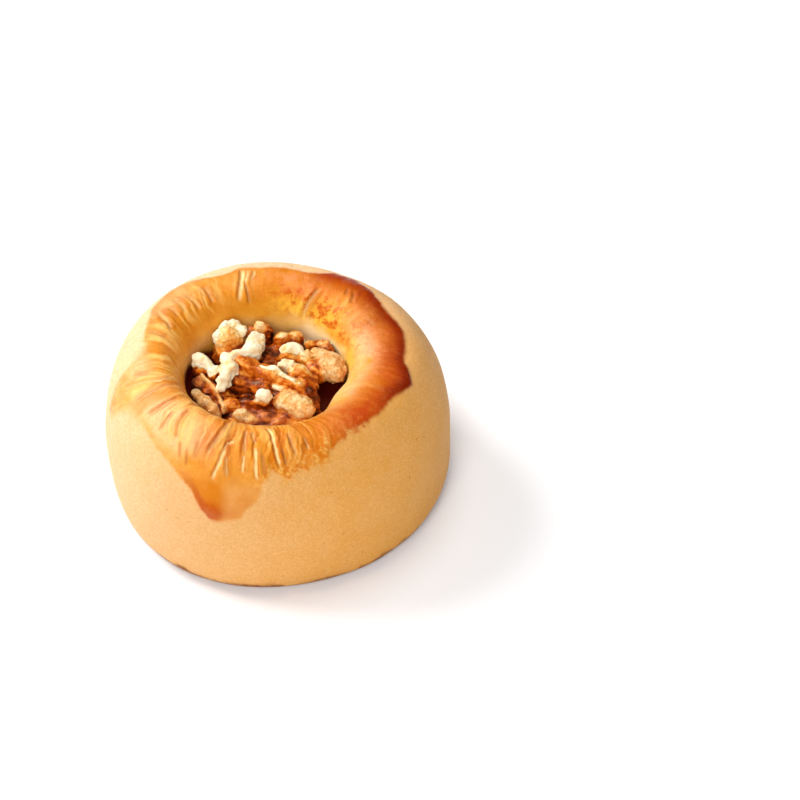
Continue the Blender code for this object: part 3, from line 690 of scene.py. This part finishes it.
def walnut_field(p, lobes, seed):
    """(distance, tone, dusk, streak) at points p (n, 3): furrowed brown skin and crumbly pale breaks."""
    warp = 0.30 * np.stack([fractal(p, 1.9, seed + 3 * k, 2) for k in range(3)], -1)
    furrow = np.abs(fractal(p + warp, 1.7, seed + 11, 2))
    crumb = fractal(p, 0.62, seed + 21, 2)
    chip = fractal(p, 1.6, seed + 31, 2)
    chip = 0.6 * chip + 1.3 * (scallops(p + 0.5 * warp, 1.5, seed + 51) - 0.45)
    total = np.full(len(p), 3.0)
    tone, dusk, streak = np.full(len(p), 0.2), np.zeros(len(p)), np.zeros(len(p))
    for number, lobe in enumerate(lobes):
        close = (np.abs(p - np.array(lobe[0])) < max(lobe[1]) + 1.6).all(-1).nonzero()[0]
        mine, away, local = in_lobe((p + warp)[close], lobe)
        (colour, bloom, rough), *caps = lobe[3:]
        colour, bloom = np.full(len(close), colour), np.full(len(close), bloom)
        for direction, start, shown in caps:
            facing = away @ (np.array(direction) / np.linalg.norm(direction))
            bare = smoothstep(-0.10, 0.10, facing - start + 0.16 * chip[close] + 0.10 * crumb[close])
            colour, bloom = colour + (shown[0] - colour) * bare, bloom + (shown[1] - bloom) * bare
            mine = mine + 0.16 * bare
        flesh = smoothstep(0.62, 0.82, colour)
        skin = 1 - smoothstep(0.50, 0.64, colour)
        lines = skin * value_noise(local * np.array((0.35, 2.1, 2.1)) + 9.7 * number, seed + 41)
        mine = mine - skin * rough * (0.28 * (furrow[close] - 0.3) + 0.06 * lines)
        mine = mine + flesh * rough * (0.15 * crumb[close] - 0.20 * chip[close])
        mine = mine + (1 - skin) * (1 - flesh) * 0.12 * crumb[close]
        blend = np.clip(0.5 + 0.5 * (total[close] - mine) / 0.4, 0, 1)
        total[close] = total[close] * (1 - blend) + mine * blend - 0.4 * blend * (1 - blend)
        for store, value in ((tone, colour), (dusk, bloom), (streak, lines)):
            store[close] += (value - store[close]) * blend
    return np.maximum(total, dish_room(p, WALNUT_GAP)), tone, dusk, streak


def crossed_cells(field):
    """Which cells of a grid the surface crosses, and where: the mean of its crossings with their edges."""
    shape = np.array(field.shape) - 1
    total, hits = np.zeros((*shape, 3)), np.zeros(shape)
    for axis in range(3):
        others = [k for k in range(3) if k != axis]
        for side in ((0, 0), (0, 1), (1, 0), (1, 1)):
            start = np.zeros(3, int)
            start[others] = side
            stop = start.copy()
            stop[axis] = 1
            a, b = (field[tuple(map(slice, end, end + shape))] for end in (start, stop))
            crossed = (a < 0) != (b < 0)
            t = np.where(crossed, a / np.where(crossed, a - b, 1.0), 0.0)
            hits += crossed
            for k in range(3):
                total[..., k] += crossed * (start[k] + (t if k == axis else 0.0))
    active = hits > 0
    return active, np.argwhere(active) + total[active] / hits[active][:, None]


def net_faces(inside, active):
    """A quad between the four cells round each edge of the grid that the surface crosses."""
    index = np.full(active.shape, -1)
    index[active] = np.arange(active.sum())
    faces = []
    for axis in range(3):
        u, v = [k for k in range(3) if k != axis]
        a = inside[tuple(slice(0, -1) if k == axis else slice(1, -1) for k in range(3))]
        b = inside[tuple(slice(1, None) if k == axis else slice(1, -1) for k in range(3))]
        at = np.argwhere(a != b)
        leaving = a[tuple(at.T)]
        at[:, [u, v]] += 1
        corners = []
        for du, dv in ((-1, -1), (0, -1), (0, 0), (-1, 0)):
            cell = at.copy()
            cell[:, u] += du
            cell[:, v] += dv
            corners.append(index[tuple(cell.T)])
        quads = np.stack(corners, -1)
        turned = ~leaving if axis != 1 else leaving
        quads[turned] = quads[turned][:, ::-1]
        faces.append(quads)
    return np.concatenate(faces)


def surface_net(lobes, seed):
    """A closed quad mesh where the walnut field is nought."""
    low = np.min([np.array(lobe[0]) - max(lobe[1]) for lobe in lobes], axis=0) - 1.0
    high = np.max([np.array(lobe[0]) + max(lobe[1]) for lobe in lobes], axis=0) + 1.0
    counts = np.ceil((high - low) / WALNUT_STEP).astype(int) + 1
    grids = [low[k] + WALNUT_STEP * np.arange(counts[k]) for k in range(3)]
    p = np.stack(np.meshgrid(*grids, indexing="ij"), -1).reshape(-1, 3)
    field = np.maximum(bare_field(p, lobes), dish_room(p, WALNUT_GAP))
    edge = (np.abs(field) < 1.1).nonzero()[0]
    field[edge] = walnut_field(p[edge], lobes, seed)[0]
    field = field.reshape(counts)
    active, cells = crossed_cells(field)
    return low + WALNUT_STEP * cells, net_faces(field < 0, active)


def relaxed(points, faces):
    """Evens out the steps that the grid leaves."""
    total = np.zeros_like(points)
    count = np.zeros(len(points))
    for k in range(4):
        for m in (1, 3):
            np.add.at(total, faces[:, k], points[faces[:, (k + m) % 4]])
            np.add.at(count, faces[:, k], 1)
    return 0.45 * points + 0.55 * total / count[:, None]


def largest(points, faces):
    """Keeps only the largest connected part."""
    label = np.arange(len(points))
    while True:
        low = label[faces].min(1)
        new = label.copy()
        np.minimum.at(new, faces.ravel(), np.repeat(low, 4))
        new = new[new]
        if (new == label).all():
            break
        label = new
    names, counts = np.unique(label, return_counts=True)
    keep = label == names[counts.argmax()]
    number = np.cumsum(keep) - 1
    return points[keep], number[faces[keep[faces[:, 0]]]]


def outward(points, faces):
    """Vertex normals of a quad mesh."""
    corner = points[faces]
    across = np.cross(corner[:, 2] - corner[:, 0], corner[:, 3] - corner[:, 1])
    total = np.zeros_like(points)
    for k in range(4):
        np.add.at(total, faces[:, k], across)
    return total / np.maximum(np.linalg.norm(total, axis=-1, keepdims=True), 1e-12)


def openness(points, normal):
    """How open to the light each point on the walnut is, from 0 in a crevice to 1."""
    every = [lobe for _, lobes, _ in PIECES for lobe in lobes]
    total = 0.0
    for reach in (0.7, 2.0):
        p = points + reach * normal
        total = total + 0.5 * np.clip(np.minimum(bare_field(p, every), -dish_room(p, 0.0)) / reach, 0, 1)
    return total


def build_walnut(name, lobes, seed):
    points, faces = largest(*surface_net(lobes, seed))
    points = relaxed(points, faces)
    _, tone, dusk, streak = walnut_field(points, lobes, seed)
    masks = {"tone": tone, "dusk": dusk, "streak": streak, "open": openness(points, outward(points, faces))}
    return make_mesh(name, points, faces.tolist(), masks)


# -------- materials
class Nodes:
    """Short names for the node types that the materials are built from."""

    def __init__(self, name):
        self.material = bpy.data.materials.new(name)
        self.material.use_nodes = True
        self.tree = self.material.node_tree
        self.shader = self.tree.nodes["Principled BSDF"]

    def put(self, socket, value):
        if isinstance(value, bpy.types.NodeSocket):
            self.tree.links.new(value, socket)
        elif isinstance(value, tuple) and len(value) == 3 and socket.type == "RGBA":
            socket.default_value = (*value, 1.0)
        else:
            socket.default_value = value

    def mask(self, name):
        node = self.tree.nodes.new("ShaderNodeAttribute")
        node.attribute_name = name
        return node.outputs["Fac"]

    def noise(self, scale, detail=3.0, rough=0.55):
        node = self.tree.nodes.new("ShaderNodeTexNoise")
        node.inputs["Scale"].default_value = scale
        node.inputs["Detail"].default_value = detail
        node.inputs["Roughness"].default_value = rough
        self.put(node.inputs["Vector"], self.tree.nodes.new("ShaderNodeTexCoord").outputs["Object"])
        return node.outputs["Fac"]

    def math(self, operation, a, b=0.0, clamp=False):
        node = self.tree.nodes.new("ShaderNodeMath")
        node.operation = operation
        node.use_clamp = clamp
        self.put(node.inputs[0], a)
        self.put(node.inputs[1], b)
        return node.outputs[0]

    def times(self, a, b):
        return self.math("MULTIPLY", a, b)

    def rest(self, share):
        """What a share leaves of 1."""
        return self.math("SUBTRACT", 1.0, share)

    def span(self, value, low, high, to_low=0.0, to_high=1.0):
        node = self.tree.nodes.new("ShaderNodeMapRange")
        node.interpolation_type = "SMOOTHSTEP"
        self.put(node.inputs["Value"], value)
        for key, number in (("From Min", low), ("From Max", high), ("To Min", to_low), ("To Max", to_high)):
            node.inputs[key].default_value = number
        return node.outputs["Result"]

    def mix(self, share, a, b):
        node = self.tree.nodes.new("ShaderNodeMix")
        node.data_type = "RGBA"
        self.put(node.inputs["Factor"], share)
        self.put(node.inputs["A"], a)
        self.put(node.inputs["B"], b)
        return node.outputs["Result"]

    def coats(self, colour, *coats):
        """Lays (share, colour) coats over a colour, one after the other."""
        for share, coat in coats:
            colour = self.mix(share, colour, coat)
        return colour

    def ramp(self, value, stops):
        node = self.tree.nodes.new("ShaderNodeValToRGB")
        while len(node.color_ramp.elements) < len(stops):
            node.color_ramp.elements.new(0.5)
        for element, (at, colour) in zip(node.color_ramp.elements, stops):
            element.position = at
            element.color = (*colour, 1.0)
        self.put(node.inputs["Fac"], value)
        return node.outputs["Color"]

    def bump(self, height, strength, distance, normal=None):
        node = self.tree.nodes.new("ShaderNodeBump")
        node.inputs["Strength"].default_value = strength
        node.inputs["Distance"].default_value = distance
        self.put(node.inputs["Height"], height)
        if normal is not None:
            self.put(node.inputs["Normal"], normal)
        return node.outputs["Normal"]

    def shade(self, **sockets):
        """Sets the shader's sockets, named as in Blender but in small letters with underscores."""
        for name, value in sockets.items():
            self.put(self.shader.inputs[name.replace("_", " ").title().replace("Ior", "IOR")], value)


def rgb(r, g, b):
    """A display colour, 0 to 255, as linear light."""
    return tuple(((c / 255 + 0.055) / 1.055) ** 2.4 if c > 10 else c / 255 / 12.92 for c in (r, g, b))


GLOSS_TINT = (1.0, 0.62, 0.28)  # the warm reflection of egg wash over baked dough
SKIN_TINT = (1.0, 0.68, 0.42)  # the warm reflection of walnut skin


def bare_dough(n, grain, mottle):
    """Colour of the dough beside the glaze: a sandy grain on a toasting that darkens towards the front right
    and the bottom, partly real toasting and partly painted shade.
    """
    return n.coats(
        # toasting, partly real and partly painted shade on the side away from the key light
        n.mix(n.mask("toast_and_shade"), rgb(243, 208, 168), rgb(218, 152, 62)),
        (n.span(mottle, 0.35, 0.7, 0.0, 0.08), rgb(222, 160, 84)),
        (n.span(grain, 0.46, 0.70, 0.0, 0.26), rgb(198, 138, 70)),
        (n.span(n.noise(4600, 2.0, 0.6), 0.52, 0.70, 0.0, 0.30), rgb(250, 216, 158)),
        (n.span(n.noise(1900, 3.0, 0.7), 0.40, 0.60, 0.26, 0.0), rgb(200, 138, 66)),
        (n.span(n.noise(2300, 3.0, 0.7), 0.52, 0.68, 0.0, 0.09), rgb(252, 222, 170)),
        (n.span(n.noise(1100, 1.0, 0.5), 0.74, 0.80, 0.0, 0.5), rgb(150, 92, 44)),
    )


def egg_wash(n, mottle):
    """Colour of the glaze, from the painted highlights on the crests of its folds to the dark red of its
    pools, with painted shade in the fold hollows and on the side away from the light.
    """
    patches, painted_lit_side = n.noise(170, 4.0, 0.6), n.mask("painted_lit_side")
    fold, froth = n.mask("fold"), n.mask("froth")
    # painted light: lighter at the left front, darker at the back right
    deeper = n.mix(painted_lit_side, rgb(202, 108, 10), rgb(229, 152, 36))
    paler = n.mix(painted_lit_side, rgb(222, 138, 34), rgb(242, 172, 86))
    gold = n.mix(painted_lit_side, rgb(246, 194, 70), rgb(238, 156, 24))
    # darker in the fold hollows: painted shade
    honey = n.mix(n.span(fold, 0.35, 0.62), rgb(188, 88, 2), rgb(222, 134, 16))
    return n.coats(
        n.mix(n.span(patches, 0.32, 0.68), deeper, paler),
        (n.span(mottle, 0.42, 0.66, 0.0, 0.50), rgb(212, 124, 20)),
        # painted highlight
        (n.mask("painted_sheen"), rgb(254, 200, 154)),
        (n.span(n.noise(2500, 3.0, 0.7), 0.48, 0.68, 0.0, 0.26), rgb(196, 104, 20)),
        (n.span(n.noise(3800, 2.0, 0.6), 0.54, 0.72, 0.0, 0.24), rgb(250, 198, 104)),
        # painted highlight on the raised folds, painted shade in their hollows
        (n.span(fold, 0.5, 0.74, 0.0, 0.62), rgb(252, 198, 112)),
        (n.span(fold, 0.24, 0.5, 0.62, 0.0), rgb(214, 120, 16)),
        (n.times(n.mask("red"), n.span(mottle, 0.25, 0.65, 0.75, 1.0)), rgb(180, 56, 0)),
        (n.times(n.mask("gold"), n.span(patches, 0.3, 0.6, 0.6, 1.0)), gold),
        (n.mask("honey"), honey),
        (n.times(froth, n.span(n.noise(1250, 3.0, 0.6), 0.52, 0.60, 0.0, 0.45)), rgb(250, 206, 112)),
        (n.times(froth, n.span(n.noise(1050, 3.0, 0.6), 0.50, 0.58, 0.0, 0.60)), rgb(200, 98, 4)),
        (n.mask("trail"), rgb(188, 80, 0)),
        (n.times(n.mask("crackle"), n.span(n.noise(760, 4.0, 0.72), 0.47, 0.60)), rgb(196, 84, 12)),
        # painted pink tinge of highlights
        (n.times(n.mask("painted_pink_sheen"), n.span(mottle, 0.35, 0.6)), rgb(226, 138, 78)),
        (n.mask("cream"), rgb(255, 226, 172)),
        (n.times(n.mask("pool"), n.span(mottle, 0.2, 0.7, 0.7, 1.0)), rgb(136, 34, 0)),
        (n.times(n.mask("bead"), n.span(mottle, 0.2, 0.8, 0.6, 1.0)), rgb(128, 30, 0)),
        # painted shade in the crease grooves and ripple troughs
        (n.times(n.mask("dark"), 0.7), rgb(160, 72, 6)),
        (n.mask("pale"), rgb(250, 218, 150)),
    )


def rough_crust(n):
    """Colour of the toasted underside."""
    stops = ((0.3, rgb(120, 66, 28)), (0.52, rgb(176, 112, 56)), (0.72, rgb(214, 168, 104)))
    return n.ramp(n.noise(900, 4.0, 0.65), stops)


def dough_material():
    n = Nodes("baked_dough")
    grain, mottle = n.noise(3200, 2.0, 0.6), n.noise(520, 5.0, 0.62)
    under, painted_dish_shade = n.mask("under"), n.mask("painted_dish_shade")
    glaze = n.times(n.mask("glaze"), n.rest(n.times(n.mask("film"), 0.30)))
    colour = n.coats(
        bare_dough(n, grain, mottle),
        (glaze, egg_wash(n, mottle)),
        (n.times(n.mask("scorch"), n.span(mottle, 0.3, 0.6, 0.5, 1.0)), rgb(132, 72, 26)),
        (under, rough_crust(n)),
        # painted shade in the dish under the walnut
        (painted_dish_shade, rgb(86, 16, 6)),
    )
    rough = n.math("ADD", n.times(glaze, n.span(mottle, 0.3, 0.75, 0.20, 0.36)), n.times(n.rest(glaze), 0.72))
    dry = n.times(n.math("MAXIMUM", n.mask("pale"), painted_dish_shade), 0.3)
    normal = n.bump(n.times(n.rest(glaze), grain), 0.35, 0.00025)
    normal = n.bump(n.times(glaze, n.noise(1000, 6.0, 0.72)), 0.55, 0.0003, normal)
    normal = n.bump(n.times(under, n.noise(1500, 5.0, 0.7)), 0.8, 0.0006, normal)
    n.shade(base_color=colour, roughness=n.math("ADD", rough, dry, clamp=True), normal=normal)
    n.shade(specular_ior_level=0.42, specular_tint=GLOSS_TINT)
    n.shade(subsurface_weight=0.12, subsurface_radius=(1.0, 0.45, 0.2), subsurface_scale=0.0012)
    return n.material


def walnut_colours(n, tone, flesh, fine):
    """Skin from dark red-brown to amber, and broken faces from tan to cream, with shade painted darker in the
    crevices.
    """
    patches = n.span(n.noise(330, 3.0, 0.6), 0.50, 0.68, 0.0, 0.24)
    # painted shade: darker where the walnut is closed in by its neighbours and the dish wall
    crevice = n.times(n.span(n.mask("open"), 0.05, 0.75, 0.24, 0.0), n.rest(n.times(flesh, 0.6)))
    level = n.math("ADD", tone, n.span(n.noise(420, 4.0, 0.6), 0.3, 0.7, -0.10, 0.11))
    level = n.math("ADD", level, n.times(n.mask("streak"), 0.18))
    level = n.math("SUBTRACT", level, n.times(n.span(tone, 0.86, 0.98), patches))
    level = n.math("ADD", level, n.span(fine, 0.35, 0.70, -0.05, 0.08))
    colour = n.ramp(n.math("SUBTRACT", level, crevice, clamp=True), (
        (0.0, rgb(44, 12, 4)),
        (0.13, rgb(98, 32, 4)),
        (0.28, rgb(149, 58, 8)),
        (0.44, rgb(202, 104, 22)),
        (0.60, rgb(230, 158, 70)),
        (0.73, rgb(246, 206, 140)),
        (0.88, rgb(255, 234, 188)),
        (1.0, rgb(255, 243, 206)),
    ))
    tan = n.times(n.span(tone, 0.45, 0.60), n.span(tone, 0.80, 0.92, 1.0, 0.35))
    grit = n.span(n.noise(2300, 2.0, 0.5), 0.54, 0.66, 0.0, 0.55)
    return n.coats(
        colour,
        (n.times(n.mask("dusk"), 0.40), rgb(184, 148, 116)),
        (n.times(tan, grit), rgb(156, 102, 40)),
    )


def walnut_material():
    n = Nodes("broken_walnut")
    tone, fine = n.mask("tone"), n.noise(1500, 4.0, 0.62)
    flesh = n.span(tone, 0.62, 0.82)
    rough = n.math("ADD", n.times(flesh, 0.38), n.span(fine, 0.3, 0.7, 0.13, 0.30))
    rugged = n.math("ADD", n.times(flesh, 0.65), 0.35)
    normal = n.bump(n.times(rugged, n.noise(900, 5.0, 0.70)), 0.70, 0.0005)
    normal = n.bump(n.times(rugged, n.noise(2600, 3.0, 0.65)), 0.70, 0.0003, normal)
    n.shade(base_color=walnut_colours(n, tone, flesh, fine), roughness=rough, normal=normal)
    n.shade(specular_ior_level=0.45, specular_tint=SKIN_TINT)
    n.shade(subsurface_weight=0.1, subsurface_radius=(1.0, 0.5, 0.25), subsurface_scale=0.0008)
    return n.material


def floor_material():
    n = Nodes("studio_floor")
    n.shade(base_color=n.mix(n.noise(3, 2.0), (0.96, 0.96, 0.97), (0.98, 0.98, 0.99)), roughness=0.9)
    n.shade(specular_ior_level=0.1)
    return n.material


# -------- building
def make_bun():
    points, faces, masks = build_bun()
    points[:, 2] = np.maximum(points[:, 2], 0)
    low, high = points.min(0), points.max(0)
    box_low, box_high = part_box("bun")
    for k in (0, 1):
        points[:, k] += (box_low[k] + box_high[k]) / 2 / MM - (low[k] + high[k]) / 2
    bun = make_mesh("bun_baked", points, faces, masks)
    bun.data.materials.append(dough_material())
    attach(bun, "root")
    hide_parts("bun")


def make_walnuts():
    material = walnut_material()
    for node, lobes, seed in PIECES:
        piece = build_walnut(f"{node}_broken", lobes, seed)
        piece.data.materials.append(material)
        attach(piece, "root")
        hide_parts(node)


def area_light(name, place, aim, size, watts, mirrored=True):
    light = bpy.data.lights.new(name, "AREA")
    light.shape = "DISK"
    light.size = size
    light.energy = watts
    obj = bpy.data.objects.new(name, light)
    obj.location = place
    obj.rotation_euler = (Vector(aim) - Vector(place)).to_track_quat("-Z", "Y").to_euler()
    obj.visible_glossy = mirrored
    bpy.context.scene.collection.objects.link(obj)


def make_studio():
    mesh = bpy.data.meshes.new("floor")
    mesh.from_pydata([(-4, -4, 0), (4, -4, 0), (4, 4, 0), (-4, 4, 0)], [], [(0, 1, 2, 3)])
    floor = bpy.data.objects.new("floor", mesh)
    bpy.context.scene.collection.objects.link(floor)
    mesh.materials.append(floor_material())
    world = bpy.data.worlds.new("studio")
    world.use_nodes = True
    world.node_tree.nodes["Background"].inputs["Color"].default_value = (1.0, 1.0, 1.0, 1.0)
    world.node_tree.nodes["Background"].inputs["Strength"].default_value = 0.25
    bpy.context.scene.world = world
    world.cycles_visibility.glossy = False
    area_light("key", (-0.48, 0.26, 0.46), (0.0, 0.0, 0.015), 0.42, 5.0)
    area_light("fill", (-0.05, -0.55, 0.50), (0.0, 0.0, 0.015), 0.50, 3.6, mirrored=False)
    area_light("top", (0.0, 0.15, 0.70), (0.0, 0.0, 0.02), 0.40, 1.3)
    bpy.context.scene.view_settings.view_transform = "Standard"


def make_camera():
    camera = bpy.data.cameras.new("camera")
    camera.sensor_width = 36.0
    camera.lens = LENS
    camera.clip_start = 0.01
    obj = bpy.data.objects.new("camera", camera)
    obj.location = CAMERA_AIM - CAMERA_AWAY * Vector((0, math.cos(CAMERA_DOWN), -math.sin(CAMERA_DOWN)))
    obj.rotation_euler = (math.pi / 2 - CAMERA_DOWN, 0, 0)
    bpy.context.scene.collection.objects.link(obj)
    bpy.context.scene.camera = obj


make_camera()
make_studio()
make_bun()
make_walnuts()
